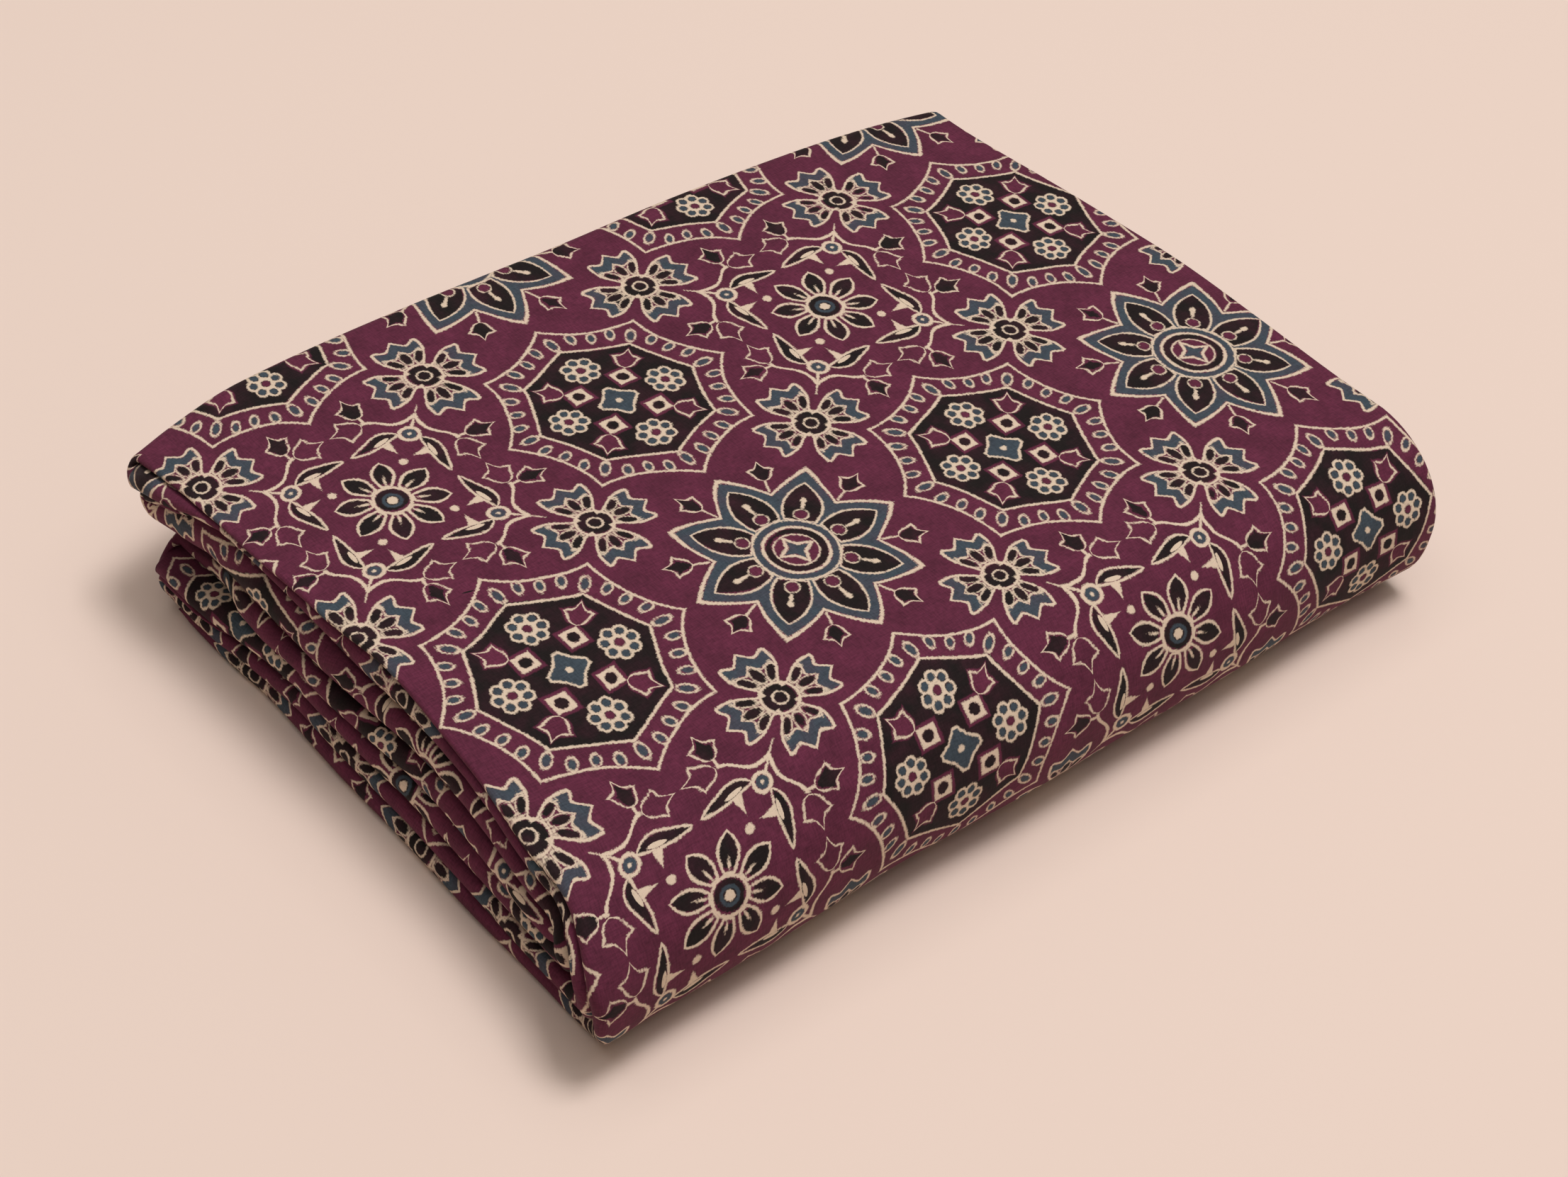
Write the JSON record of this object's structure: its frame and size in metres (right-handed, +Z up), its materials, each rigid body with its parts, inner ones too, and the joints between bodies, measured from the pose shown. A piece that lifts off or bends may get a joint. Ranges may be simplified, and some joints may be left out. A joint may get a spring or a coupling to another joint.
{
  "type": "folded ajrakh cloth",
  "caption": "Block-printed cotton cloth folded in layers and doubled round a soft front fold, with rounded folded lips on its left side, lying flat.",
  "frame": {"origin": "on the surface that the cloth lies on, below the middle of the bundle", "axes": "+X along the front fold towards the bundle's right end, -Y towards the soft front fold, +Z up"},
  "size_m": [0.242, 0.1758, 0.0449],
  "materials": {
    "dyed_cotton": "matt cotton, block printed in plum, black, slate blue and cream"
  },
  "bodies": {
    "root": {"cloth": "dyed_cotton"}
  },
  "joints": []
}
